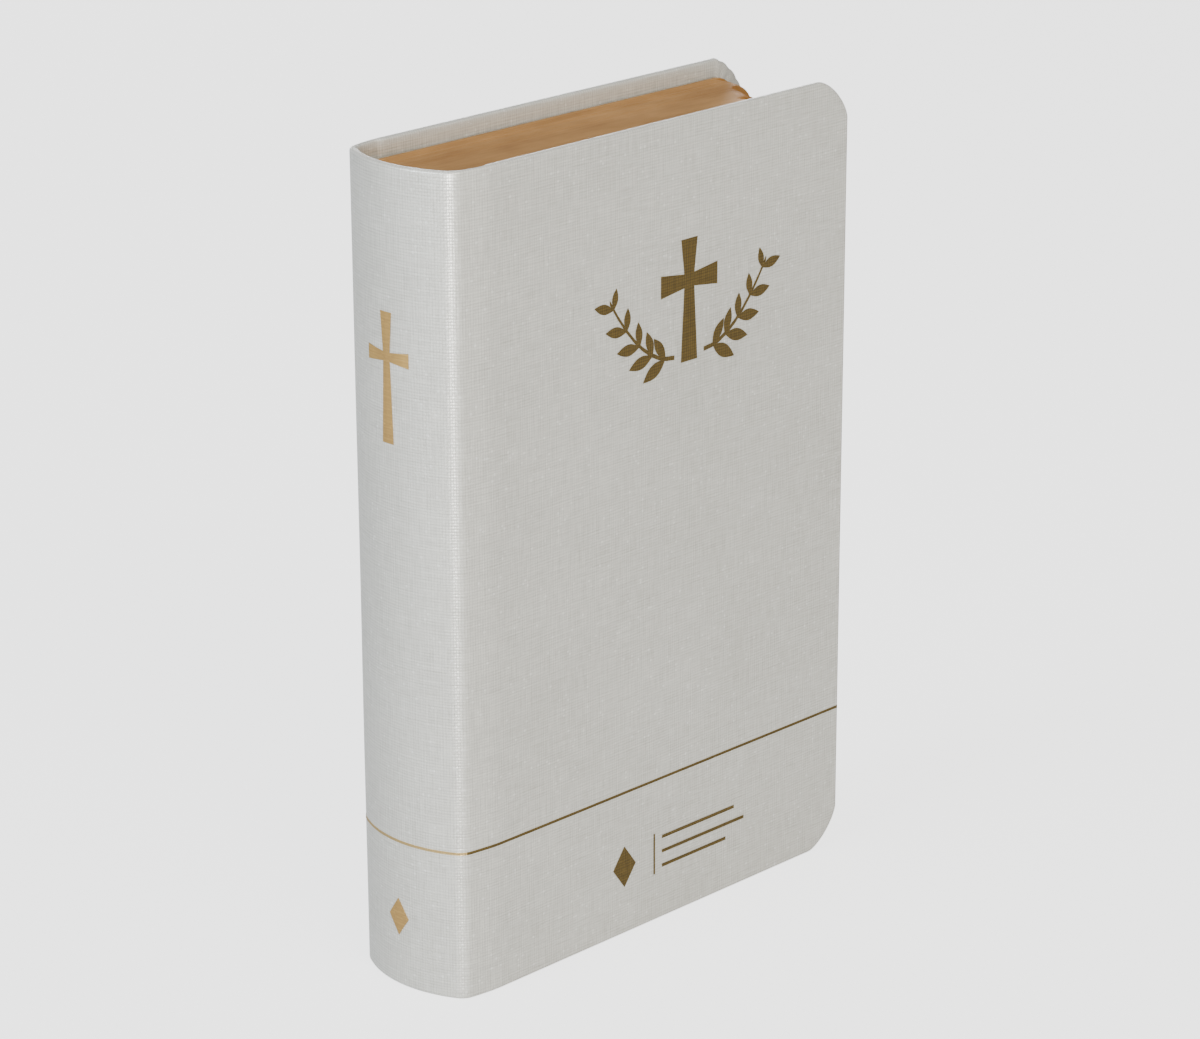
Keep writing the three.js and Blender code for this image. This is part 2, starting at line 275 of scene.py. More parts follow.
def printed_columns_group() -> bpy.types.NodeTree:
    """Two columns of plain broken lines, as a page of small type looks from afar, with no letters in it.

    Returns:
        A group that takes a place on the leaf in millimetres, from its fold and its tail, and puts out ink.
    """
    tree, w, start, end = shader_group(
        "printed_columns", {"Place": (0.0, 0.0, 0.0)}, {"Ink": "NodeSocketFloat"})
    split = w.add("ShaderNodeSeparateXYZ", None, i0=start.outputs["Place"])
    across, up = split.outputs[0], split.outputs[2]
    line_pitch = 2.6

    def inside(value: object, low: float, high: float) -> Socket:
        """One where a value lies between two limits."""
        return w.times(w.math("GREATER_THAN", value, low), w.math("LESS_THAN", value, high))

    row = w.math("DIVIDE", up, line_pitch)
    stroke = w.math("GREATER_THAN", w.math("SINE", w.times(w.math("FRACT", row), math.pi)), 0.72)
    row_seed = w.times(w.math("FLOOR", row), 7.3)
    spots = w.add("ShaderNodeCombineXYZ", None, i0=w.times(across, 0.9), i1=row_seed).outputs[0]
    words = w.math("GREATER_THAN", w.noise(spots, 1.0, 2.0, 0.6), 0.42)
    columns = w.plus(inside(across, 18.0, 52.0), inside(across, 56.0, 90.0))
    area = w.times(columns, inside(up, 16.0, 152.0))
    w.feed(end, Ink=w.times(area, w.times(stroke, words)))
    return tree


# ----------------------------------------------------------------------
# Finishes
# ----------------------------------------------------------------------


class Workshop:
    """Holds the shader groups and makes each material once."""

    def __init__(self) -> None:
        """Builds the shared groups."""
        self.weave = linen_weave_group()
        self.leaf_lines = leaf_lines_group()
        self.columns = printed_columns_group()
        self.made: dict[str, bpy.types.Material] = {}

    def material(self, finish: "Finish") -> bpy.types.Material:
        """The finish's material, made at its first use."""
        if finish.name not in self.made:
            material = bpy.data.materials.new(finish.name)
            material.use_nodes = True
            material.node_tree.nodes.clear()
            writer = NodeWriter(material.node_tree)
            shader = writer.add("ShaderNodeBsdfPrincipled")
            writer.add("ShaderNodeOutputMaterial", None, Surface=shader.outputs[0])
            finish.wire(writer, shader, self)
            self.made[finish.name] = material
        return self.made[finish.name]


@dataclass(frozen=True)
class Finish:
    """A surface finish. Each kind wires its own nodes into the material's Principled shader."""

    name: str

    def wire(self, w: NodeWriter, shader: Node, shop: Workshop) -> None:
        """Adds the finish's nodes."""
        raise NotImplementedError

    @staticmethod
    def millimetres(w: NodeWriter, attribute: str | None) -> Socket:
        """A place on the piece in millimetres, from an attribute, or from Object coordinates without one."""
        if attribute is None:
            source = w.add("ShaderNodeTexCoord").outputs["Object"]
        else:
            source = w.add("ShaderNodeAttribute", {"attribute_name": attribute}).outputs["Vector"]
        return w.stretched(source, (1000.0, 1000.0, 1000.0))

    @staticmethod
    def bump(w: NodeWriter, shader: Node, height: object, strength: float, depth_mm: float) -> None:
        """Feeds the shader's Normal from a height."""
        node = w.add("ShaderNodeBump", None, Height=height, Strength=strength, Distance=depth_mm * MM)
        w.feed(shader, Normal=node.outputs[0])


@dataclass(frozen=True)
class LinenCloth(Finish):
    """Pearly white book cloth in a plain linen weave."""

    light: Colour = srgb(222, 220, 212)
    shade: Colour = srgb(156, 153, 144)
    # Near-white colour of the painted highlights on a few fibres.
    glinting: Colour = srgb(252, 251, 247)
    pitch_mm: float = 0.6
    pearl: float = 0.35
    place: str = "cloth_place"

    def wire(self, w: NodeWriter, shader: Node, shop: Workshop) -> None:
        """Weave height and mottling, painted shade between threads, painted highlights on a few glossier
        fibres.
        """
        weave = w.group(shop.weave, Place=self.millimetres(w, self.place), Pitch=self.pitch_mm)
        painted_glint = weave.outputs["Glint"]
        tone = w.range(weave.outputs["Mottle"], 0.3, 0.7, 0.0, 0.4)
        # Lower parts of the weave take the darker colour: painted shade between the threads, with the slubs'
        # own tone.
        threads = w.range(weave.outputs["Height"], 0.8, 1.9, 0.16, 0.84)
        base = w.mix(w.plus(tone, threads), self.shade, self.light)
        # Painted highlight: a few fibres take a near-white colour; they are also less rough.
        w.feed(shader, Base_Color=w.mix(painted_glint, base, self.glinting), Metallic=self.pearl,
               Roughness=w.range(painted_glint, 0.0, 0.8, 0.38, 0.25), Specular_IOR_Level=0.8,
               Sheen_Weight=0.22, Sheen_Roughness=0.4)
        self.bump(w, shader, weave.outputs["Height"], 0.8, 0.05)


@dataclass(frozen=True)
class GiltEdge(Finish):
    """Gold leaf burnished on the edges of the pages."""

    light: Colour = srgb(210, 156, 86)
    dark: Colour = srgb(168, 120, 64)
    # Painted shade on the outermost leaves, where the gap beside the cover lies in shadow: its colour and
    # where it begins and ends.
    rubbed: Colour = srgb(92, 66, 42)
    rubbed_from_mm: float = 12.8
    rubbed_to_mm: float = 13.3
    place: str = "page_place"

    def wire(self, w: NodeWriter, shader: Node, shop: Workshop) -> None:
        """Fine lines of leaves under clouded gold, with painted shade on the outermost leaves by the cover.
        """
        spot = self.millimetres(w, self.place)
        lines = w.group(shop.leaf_lines, Place=spot)
        tone = w.range(lines.outputs["Shade"], 0.34, 0.66, 0.0, 1.0)
        from_middle = w.math("ABSOLUTE", w.add("ShaderNodeSeparateXYZ", None, i0=spot).outputs[1])
        # Painted shade: the outermost leaves and flyleaves darken towards the gap beside the cover.
        worn = w.range(from_middle, self.rubbed_from_mm, self.rubbed_to_mm, 0.0, 0.8)
        gold = w.mix(tone, self.dark, self.light)
        w.feed(shader, Base_Color=w.mix(worn, gold, self.rubbed), Metallic=0.65,
               Roughness=w.range(tone, 0.0, 1.0, 0.52, 0.42))
        self.bump(w, shader, lines.outputs["Height"], 0.2, 0.04)


@dataclass(frozen=True)
class LeafPaper(Finish):
    """Thin cream paper with two columns of small type suggested by plain lines."""

    paper: Colour = srgb(240, 234, 219)
    fibres: Colour = srgb(222, 213, 192)
    ink: Colour = srgb(120, 114, 106)
    place: str = "page_place"

    def wire(self, w: NodeWriter, shader: Node, shop: Workshop) -> None:
        """Fibrous paper with ink in columns."""
        spot = self.millimetres(w, self.place)
        ink = w.group(shop.columns, Place=spot).outputs["Ink"]
        fibre = w.noise(spot, 0.8, 4.0, 0.65)
        paper = w.mix(w.range(fibre, 0.3, 0.7, 0.0, 0.12), self.paper, self.fibres)
        w.feed(shader, Base_Color=w.mix(w.times(ink, 0.7), paper, self.ink), Roughness=0.8)
        self.bump(w, shader, fibre, 0.12, 0.05)


@dataclass(frozen=True)
class PlainPaper(Finish):
    """Endpaper, kraft paper or board: fibres and faint clouds of one colour."""

    colour: Colour = srgb(236, 232, 222)
    deep: Colour = srgb(216, 209, 193)
    fibre_mm: float = 1.4
    roughness: float = 0.82
    place: str | None = None

    def wire(self, w: NodeWriter, shader: Node, shop: Workshop) -> None:
        """Two sizes of fibre noise in colour and bump."""
        spot = self.millimetres(w, self.place)
        fibre = w.noise(w.stretched(spot, (1.0, 1.0, 0.35)), 1.0 / self.fibre_mm, 5.0, 0.7)
        cloud = w.noise(spot, 0.05, 3.0)
        tone = w.weighted((fibre, 0.6), (cloud, 0.4))
        w.feed(shader, Base_Color=w.mix(w.range(tone, 0.35, 0.65, 0.0, 1.0), self.colour, self.deep),
               Roughness=w.range(fibre, 0.3, 0.7, self.roughness - 0.06, self.roughness))
        self.bump(w, shader, fibre, 0.25, 0.06)


@dataclass(frozen=True)
class GoldFoil(Finish):
    """Metal foil pressed into the weave, with painted shade in the weave's hollows."""

    metal: Colour = srgb(131, 109, 60)
    # Colour of the painted shade in the weave's hollows.
    worn: Colour = srgb(92, 78, 50)
    roughness: float = 0.42
    metallic: float = 0.8
    pitch_mm: float = 0.6
    place: str | None = "cloth_place"

    def wire(self, w: NodeWriter, shader: Node, shop: Workshop) -> None:
        """The cloth's weave seen through the foil."""
        spot = self.millimetres(w, self.place)
        if self.place is None:
            turned = w.add("ShaderNodeSeparateXYZ", None, i0=spot)
            spot = w.add("ShaderNodeCombineXYZ", None, i0=turned.outputs[0], i1=turned.outputs[2]).outputs[0]
        weave = w.group(shop.weave, Place=spot, Pitch=self.pitch_mm)
        tone = w.range(weave.outputs["Height"], 0.9, 1.8, 0.0, 1.0)
        # The weave's hollows take the darker colour: painted shade.
        w.feed(shader, Base_Color=w.mix(tone, self.worn, self.metal), Metallic=self.metallic,
               Roughness=w.range(tone, 0.0, 1.0, self.roughness + 0.14, self.roughness))
        self.bump(w, shader, weave.outputs["Height"], 0.6, 0.08)


@dataclass(frozen=True)
class SpunThread(Finish):
    """Twisted cotton or linen thread."""

    light: Colour = srgb(238, 233, 219)
    dark: Colour = srgb(203, 193, 169)

    def wire(self, w: NodeWriter, shader: Node, shop: Workshop) -> None:
        """A diagonal twist with loose fibres."""
        spot = self.millimetres(w, None)
        settings = {"bands_direction": "DIAGONAL"}
        twist = w.add("ShaderNodeTexWave", settings, Vector=spot, Scale=1.1, Distortion=1.5)
        tone = w.times(twist.outputs[1], w.noise(spot, 6.0, 3.0))
        w.feed(shader, Base_Color=w.mix(w.range(tone, 0.1, 0.6, 0.0, 1.0), self.dark, self.light),
               Roughness=0.75, Sheen_Weight=0.15)
        self.bump(w, shader, tone, 0.5, 0.08)


CLOTH = LinenCloth("linen_book_cloth")
GILT = GiltEdge("gilt_page_edge")
LEAF = LeafPaper("leaf_paper")
ENDPAPER = PlainPaper("endpaper", place="page_place")
BOARD = PlainPaper("binders_board", srgb(168, 150, 120), srgb(132, 114, 88), 0.9, 0.9)
KRAFT = PlainPaper("kraft_lining", srgb(164, 130, 88), srgb(138, 106, 70), 1.2, 0.9)
GAUZE = PlainPaper("mull_gauze", srgb(232, 228, 216), srgb(196, 190, 172), 0.5, 0.95)
# The front's foils are a darker copy of the gold foil: painted shade. The spine's are a lighter copy, for the
# light caught on the spine and shoulder: painted light.
COVER_FOIL = GoldFoil("bronze_gold_foil", place=None)
RULE_FOIL = GoldFoil("bronze_gold_rule")
SPINE_RULE_FOIL = GoldFoil("bright_gold_rule", srgb(206, 172, 108), srgb(180, 156, 112), 0.36, 0.7)
SPINE_FOIL = GoldFoil("bright_gold_foil", srgb(220, 178, 104), srgb(190, 152, 92), 0.34, 0.75, place=None)
BAND = SpunThread("band_thread")
SEWING = SpunThread("sewing_thread", srgb(244, 241, 232), srgb(214, 208, 192))


# ----------------------------------------------------------------------
# Mesh helpers
# ----------------------------------------------------------------------


def add_object(name: str, data: bpy.types.ID) -> bpy.types.Object:
    """Makes an object of a mesh, a curve, a camera or a light, and links it to the scene."""
    piece = bpy.data.objects.new(name, data)
    bpy.context.scene.collection.objects.link(piece)
    return piece


def mesh_object(name: str, verts: Sequence, faces: Sequence, smooth: bool = True) -> bpy.types.Object:
    """Makes a mesh object at the origin.

    Args:
        name: The piece's name.
        verts: Points, in metres.
        faces: Lists of point numbers.
        smooth: Whether its faces are shaded smooth.

    Returns:
        The object, linked to the scene.
    """
    mesh = bpy.data.meshes.new(name)
    mesh.from_pydata([tuple(v) for v in verts], [], [tuple(f) for f in faces])
    mesh.validate()
    for polygon in mesh.polygons:
        polygon.use_smooth = smooth
    return add_object(name, mesh)


def store_places(piece: bpy.types.Object, attribute: str, places: Iterable[Sequence[float]]) -> None:
    """Keeps a place for each point, so that a pattern stays on the surface when the piece bends."""
    layer = piece.data.attributes.new(attribute, "FLOAT_VECTOR", "POINT")
    layer.data.foreach_set("vector", [float(c) for place in places for c in place])


def bake_modifiers(piece: bpy.types.Object) -> None:
    """Applies every modifier on a piece."""
    graph = bpy.context.evaluated_depsgraph_get()
    mesh = bpy.data.meshes.new_from_object(piece.evaluated_get(graph))
    piece.modifiers.clear()
    piece.data = mesh


def sharpen(piece: bpy.types.Object, degrees: float) -> None:
    """Splits the smooth shading where faces meet at more than an angle."""
    limit = math.radians(degrees)
    work = bmesh.new()
    work.from_mesh(piece.data)
    for edge in work.edges:
        if len(edge.link_faces) == 2:
            edge.smooth = edge.calc_face_angle(0.0) < limit
    work.to_mesh(piece.data)
    work.free()


def clear_slots(piece: bpy.types.Object, *materials: bpy.types.Material) -> None:
    """Gives a piece these materials and no others."""
    piece.data.materials.clear()
    for material in materials:
        piece.data.materials.append(material)


def lerp(low: float, high: float, share: float) -> float:
    """The value at a share of the way from low to high."""
    return low + (high - low) * share


def eased(value: float) -> float:
    """A smooth step from 0 to 1, held outside that range."""
    held = min(1.0, max(0.0, value))
    return held * held * (3 - 2 * held)


# ----------------------------------------------------------------------
# The book's sizes and the case's profile
# ----------------------------------------------------------------------


@dataclass
class BookSizes:
    """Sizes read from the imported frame."""

    half: float = field(init=False)
    spine_x: float = field(init=False)
    fore_x: float = field(init=False)
    height: float = field(init=False)
    hinge_x: float = field(init=False)
    page_low: float = field(init=False)
    page_high: float = field(init=False)

    def __post_init__(self) -> None:
        """Reads the boxes of the nodes that set each size."""
        low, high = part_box("front_cover_cloth")
        self.half = -low[1]
        self.fore_x = high[0]
        self.height = high[2]
        self.spine_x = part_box("spine_cloth")[0][0]
        self.hinge_x = next(j["pos_m"][0] for j in frame["joints"] if j["name"] == "front_cover_hinge")
        low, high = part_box("section_01_leaves")
        self.page_low, self.page_high = low[2], high[2]


@dataclass
class CaseProfile:
    """The outside of the case in plan, from the middle of the spine to a cover's fore-edge.

    It is a chain of arcs and straight lines: round spine, shoulder, dipping joint, easing and flat cover. A
    distance along it is positive on one side and negative on the other.
    """

    sizes: BookSizes
    spine_radius: float = 25.8 * MM
    shoulder_radius: float = 4 * MM
    slope: float = math.radians(8)
    easing_radius: float = 30 * MM
    flat_from: float = 11.8 * MM
    chain: list = field(init=False)
    length: float = field(init=False)

    def __post_init__(self) -> None:
        """Lays the chain out so that it meets the flat cover's plane."""
        inner = self.spine_radius - self.shoulder_radius
        start = Vector((self.flat_from, -self.sizes.half))
        start += self.shoulder_radius * Vector((math.sin(self.slope), math.cos(self.slope)))
        back = Vector((-math.cos(self.slope), math.sin(self.slope)))
        away = start - Vector((self.spine_radius, 0.0))
        b = back.dot(away)
        centre = start + back * (-b + math.sqrt(b * b - away.length_squared + inner * inner))
        turn = math.atan2(-centre.y, self.spine_radius - centre.x)
        steep = math.pi / 2 - self.slope
        drop = self.sizes.half - inner * math.sin(turn) - self.shoulder_radius * math.cos(self.slope)
        straight = (drop - self.easing_radius * (1 - math.cos(self.slope))) / math.sin(self.slope)
        plan = [(self.spine_radius, turn), (self.shoulder_radius, steep), (None, straight),
                (self.easing_radius, math.pi / 2)]
        self.chain = []
        x, y, angle, distance = self.sizes.spine_x, 0.0, 0.0, 0.0
        for radius, end in plan:
            length = end if radius is None else radius * (end - angle)
            self.chain.append((distance, radius, angle, x, y))
            x, y, angle = self.follow(length, radius, angle, x, y)
            distance += length
        self.chain.append((distance, None, angle, x, y))
        self.length = distance + self.sizes.fore_x - x

    @staticmethod
    def follow(length: float, radius: float | None, angle: float, x: float, y: float) -> tuple:
        """Goes a length along an arc or a line.

        Args:
            length: The distance to go.
            radius: The arc's radius, or None on a line.
            angle: The heading at the start, turned from -Y towards +X.
            x: Where it starts.
            y: Where it starts.

        Returns:
            The place and the heading at the end, as x, y and angle.
        """
        if radius is None:
            return x + length * math.sin(angle), y - length * math.cos(angle), angle
        end = angle + length / radius
        across = radius * (math.cos(angle) - math.cos(end))
        along = radius * (math.sin(end) - math.sin(angle))
        return x + across, y - along, end

    def at(self, side: Side, distance: float, depth: float = 0.0) -> Point2:
        """A place on the profile or inside it.

        Args:
            side: The cover that a positive distance runs to.
            distance: Along the outside from the middle of the spine.
            depth: How far inside the outside.

        Returns:
            The x and y there.
        """
        reach = abs(distance)
        begin, radius, angle, x, y = [link for link in self.chain if link[0] <= reach][-1]
        x, y, heading = self.follow(reach - begin, radius, angle, x, y)
        x, y = x + depth * math.cos(heading), y + depth * math.sin(heading)
        front = (side is Side.FRONT) == (distance >= 0)
        return x, y if front else -y

    def round_x(self, y: float, inside: float) -> float:
        """The x at y of a round that runs inside the spine, at an even depth from its outside."""
        radius = self.spine_radius - inside
        return self.sizes.spine_x + self.spine_radius - math.sqrt(radius * radius - y * y)

    def distance_at(self, x: float) -> float:
        """How far along the outside a place x on the joint or the cover lies."""
        low, high = self.chain[2][0], self.length
        for _ in range(40):
            middle = (low + high) / 2
            low, high = (middle, high) if self.at(Side.FRONT, middle)[0] < x else (low, middle)
        return low


# ----------------------------------------------------------------------
# The case
# ----------------------------------------------------------------------

CORNER_REACH = 8.5 * MM
CORNER_ROUNDNESS = 1.5


@dataclass
class BookPart:
    """A piece made from the shared finishes, the book's sizes and the case's profile."""

    shop: Workshop
    sizes: BookSizes
    profile: CaseProfile

    def build(self) -> bpy.types.Object:
        """Builds the piece's mesh."""
        raise NotImplementedError

    def dress(self, piece: bpy.types.Object) -> None:
        """Gives the piece its materials and hides the imported nodes that it stands for."""
        raise NotImplementedError

    def make(self) -> None:
        """Builds the piece, dresses it and reports it."""
        piece = self.build()
        self.dress(piece)
        log.info("%s: %d faces", piece.name, len(piece.data.polygons))


def corner_point(angle: float) -> Point2:
    """A point of a cover's corner of reach 1, which lies between a quarter circle and a straight cut.

    Args:
        angle: From 0 where the corner leaves the head or tail to a quarter turn at the fore-edge.

    Returns:
        How far the point is out towards the fore-edge, and how far towards the head or tail.
    """
    power = 2 / CORNER_ROUNDNESS
    return math.sin(angle) ** power, max(math.cos(angle), 0.0) ** power


@dataclass
class ClothSkin(BookPart):
    """Book cloth over one side of the case: outside, rounded edges and the cloth turned in.

    The front skin also covers the spine and meets the back skin in the back joint.
    """

    side: Side
    edge_radius: float = 0.6 * MM
    thickness: float = 1.6 * MM
    joint_thickness: float = 1.1 * MM
    joint_half: float = 1.8 * MM
    joint_fade: float = 2.2 * MM
    cloth: float = 0.4 * MM
    turned_in_mm: tuple[float, ...] = (1.4, 2.2, 3.2, 4.4, 5.8, 7.4, 9.2, 11.0, 13.0)
    edge_steps: int = 4
    scallop: float = 0.3 * MM
    pleat_height: float = 0.3 * MM
    relief_height: float = 0.05 * MM
    relief_depth: float = 0.03 * MM
    seam_x: float = 4.6 * MM
    fine_step: float = 0.55 * MM
    flat_step: float = 2.6 * MM
    rows: int = 64
    pleats: int = 9
    corner_radius: float = CORNER_REACH

    def start(self) -> float:
        """Where along the profile the skin starts: at the seam in the back joint."""
        seam = self.profile.distance_at(self.sizes.spine_x + self.seam_x)
        return seam if self.side is Side.BACK else -seam

    def columns(self) -> list[float]:
        """Distances along the profile of the skin's straight columns, close together where it bends."""
        end = self.profile.length - self.corner_radius
        fine_end = self.profile.distance_at(self.sizes.hinge_x + 8 * MM)
        places = [self.start()]
        while places[-1] < end - 0.5 * MM:
            step = self.fine_step if places[-1] < fine_end else self.flat_step
            places.append(min(end, places[-1] + step))
        return places

    def local_thickness(self, distance: float) -> float:
        """Thickness of the case there: thinner in the joints, where neither board nor inlay lies."""
        joint = self.profile.distance_at(self.sizes.hinge_x - 1.5 * MM)
        near = 1 - eased((abs(abs(distance) - joint) - self.joint_half) / self.joint_fade)
        return lerp(self.thickness, self.joint_thickness, near)

    def outline(self, inset: float) -> list[Point2]:
        """The skin's outline moved inwards, from the seam along the tail, the fore-edge and the head.

        Args:
            inset: How far inside the case's edge.

        Returns:
            Points as distance along the profile and height.
        """
        radius = max(self.corner_radius - inset, 0.6 * MM)
        centre = (self.profile.length - inset - radius, inset + radius)
        straight = self.columns()
        last = straight[-1]
        moved_from = last - 30 * MM
        share = (centre[0] - moved_from) / (last - moved_from)
        tail = [(s if s < moved_from else moved_from + (s - moved_from) * share, inset) for s in straight]
        corner_steps = 24
        for k in range(1, corner_steps + 1):
            angle = math.pi / 2 * k / corner_steps
            out, along = corner_point(angle)
            folds = self.gather(angle) if self.side is Side.BACK else 0.0
            rim = self.scallop * folds * max(0.0, 1 - inset / (3 * MM))
            tail.append((centre[0] + (radius + rim) * out, centre[1] - (radius + rim) * along))
        height = self.sizes.height
        edge = [(self.profile.length - inset, lerp(centre[1], height - centre[1], j / self.rows))
                for j in range(1, self.rows)]
        return tail + edge + [(s, height - z) for s, z in reversed(tail)]

    def relief(self, distance: float, height: float) -> float:
        """Small unevenness of the covered boards, as a depth."""
        spot = Vector((distance / (34 * MM), height / (41 * MM), float(self.side.value)))
        return self.relief_height * noise.noise(spot) + self.relief_depth

    def pleat(self, distance: float, height: float, inset: float) -> float:
        """How far the cloth gathered at a rounded corner stands up at a place on the turned-in side."""
        dx = distance - (self.profile.length - self.corner_radius)
        dz = self.corner_radius - min(height, self.sizes.height - height)
        if dx <= 0 or dz <= 0:
            return 0.0
        rise = eased(inset / (1.2 * MM)) * (1 - 0.5 * eased(inset / (9 * MM)))
        return self.pleat_height * self.gather(math.atan2(dx, dz)) * rise

    def gather(self, angle: float) -> float:
        """The cloth's folds round a corner, from 0 at its ends or between two folds to 1 on top of a fold."""
        return abs(math.sin(angle * self.pleats)) * eased(min(angle, math.pi / 2 - angle) / 0.25)

    def place(self, distance: float, height: float, depth: float) -> tuple[float, float, float]:
        """A point of the skin in the frame."""
        x, y = self.profile.at(self.side, distance, depth)
        return x, y, height

    def rings(self) -> list[tuple[float, Callable[[float], float], float]]:
        """The loops that carry the skin over its edge and in.

        Returns:
            For each loop, its inset, its depth as a function of the local thickness, and the distance along
            the cloth from the outside's border.
        """
        r, steps = self.edge_radius, self.edge_steps
        loops = []
        for k in range(1, steps + 1):
            a = math.pi / 2 * k / steps
            loops.append((r * (1 - math.sin(a)), lambda t, a=a: min(r, t / 2) * (1 - math.cos(a)), r * a))
        for k in range(steps - 1, -1, -1):
            a = math.pi / 2 * k / steps
            run = r * (math.pi - a)
            loops.append((r * (1 - math.sin(a)), lambda t, a=a: t - min(r, t / 2) * (1 - math.cos(a)), run))
        for inset in self.turned_in_mm:
            loops.append((inset * MM, lambda t: t, r * (math.pi - 1) + inset * MM))
        return loops

    def build(self) -> bpy.types.Object:
        """Builds the skin as one sheet, then gives it the cloth's thickness."""
        border = self.outline(self.edge_radius)
        count = (len(border) - (self.rows - 1)) // 2
        verts, places, faces = [], [], []
        grid = []
        for i in range(count):
            s, low = border[i]
            high = self.sizes.height - low
            column = []
            for j in range(self.rows + 1):
                z = lerp(low, high, j / self.rows)
                column.append(len(verts))
                verts.append(self.place(s, z, self.relief(s, z)))
                places.append((s, z, 0.0))
            grid.append(column)
        for a, b in zip(grid, grid[1:]):
            faces += [(a[j], b[j], b[j + 1], a[j + 1]) for j in range(self.rows)]
        tail = [column[0] for column in grid]
        edge = [grid[-1][j] for j in range(1, self.rows)]
        loop = tail + edge + [column[-1] for column in reversed(grid)]
        for inset, depth_of, run in self.rings():
            fresh = []
            for (s, z), (s0, z0) in zip(self.outline(inset), border):
                wall = self.local_thickness(s0)
                lift = self.pleat(s0, z0, inset) if run > self.edge_radius * math.pi / 2 else 0.0
                relief = self.relief(s0, z0) * max(0.0, 1 - run / self.edge_radius)
                fresh.append(len(verts))
                verts.append(self.place(s, z, depth_of(wall) + relief + lift))
                out = Vector((s0 - s, z0 - z))
                step = out.normalized() * run if out.length > 1e-9 else Vector((0.0, 0.0))
                sign = 1 if inset >= self.edge_radius else -1
                places.append((s0 + sign * step.x, z0 + sign * step.y, 0.0))
            faces += [(loop[k], fresh[k], fresh[k + 1], loop[k + 1]) for k in range(len(loop) - 1)]
            loop = fresh
        if self.side is Side.BACK:
            faces = [tuple(reversed(f)) for f in faces]
        piece = mesh_object(self.name(), verts, faces)
        store_places(piece, CLOTH.place, places)
        wall = piece.modifiers.new("cloth", "SOLIDIFY")
        wall.thickness, wall.offset = self.cloth, -1
        bake_modifiers(piece)
        sharpen(piece, 50)
        return piece

    def name(self) -> str:
        """The piece's name."""
        return "front_and_spine_cloth" if self.side is Side.FRONT else "back_cloth"

    def dress(self, piece: bpy.types.Object) -> None:
        """Gives the skin its cloth and bakes its placement."""
        clear_slots(piece, self.shop.material(CLOTH))
        nodes = [f"{self.side.label}_cover_cloth"] + (["spine_cloth"] if self.side is Side.FRONT else [])
        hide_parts(*nodes)
        bend_at_joint(piece)


def bend_at_joint(piece: bpy.types.Object) -> None:
    """Bakes the placement of a piece of the case or of its lining into its mesh.

    Args:
        piece: The piece.
    """
    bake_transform(piece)


@dataclass
class CoverRule(BookPart):
    """The thin foil line round the case, in two strips that lie on the cloth under them."""

    skin: ClothSkin
    low: float
    high: float
    rise: float = 0.05 * MM
    sunk: float = 0.08 * MM
    seam_gap: float = 0.02 * MM
    edge_gap: float = 0.35 * MM

    def build(self) -> bpy.types.Object:
        """Builds the strip along the skin's outside."""
        skin = self.skin
        start = skin.start() + (0.0 if skin.side is Side.BACK else self.seam_gap)
        end = self.profile.length - self.edge_gap
        steps = 320 if skin.side is Side.FRONT else 200
        verts, places, faces = [], [], []
        levels = (self.low, (self.low + self.high) / 2, self.high)
        for i in range(steps + 1):
            s = lerp(start, end, i / steps)
            for depth in (-self.rise, self.sunk):
                for z in levels:
                    verts.append(skin.place(s, z, depth + skin.relief(s, z)))
                    places.append((s, z, 0.0))
        ring = [0, 1, 2, 5, 4, 3]
        for a in range(0, 6 * steps, 6):
            faces += [(a + p, a + 6 + p, a + 6 + q, a + q) for p, q in zip(ring, ring[1:] + ring[:1])]
        for a in (0, 6 * steps):
            faces += [(a, a + 1, a + 4, a + 3), (a + 1, a + 2, a + 5, a + 4)]
        piece = mesh_object(f"{skin.side.label}_foil_rule", verts, faces, smooth=False)
        store_places(piece, CLOTH.place, places)
        face_outwards(piece)
        return piece

    def dress(self, piece: bpy.types.Object) -> None:
        """Gives the strip its foil and bakes its placement."""
        clear_slots(piece, self.shop.material(RULE_FOIL), self.shop.material(SPINE_RULE_FOIL))
        # The strip's part on the spine and shoulder takes the lighter copy of the foil: painted light.
        bright_to = self.sizes.spine_x + 5.3 * MM
        for polygon in piece.data.polygons:
            polygon.material_index = int(polygon.center.x < bright_to)
        nodes = ["front_rule", "spine_rule"] if self.skin.side is Side.FRONT else ["back_rule"]
        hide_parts(*nodes)
        bend_at_joint(piece)


def face_outwards(piece: bpy.types.Object) -> None:
    """Turns every face of a closed mesh outwards."""
    work = bmesh.new()
    work.from_mesh(piece.data)
    bmesh.ops.recalc_face_normals(work, faces=work.faces[:])
    work.to_mesh(piece.data)
    work.free()


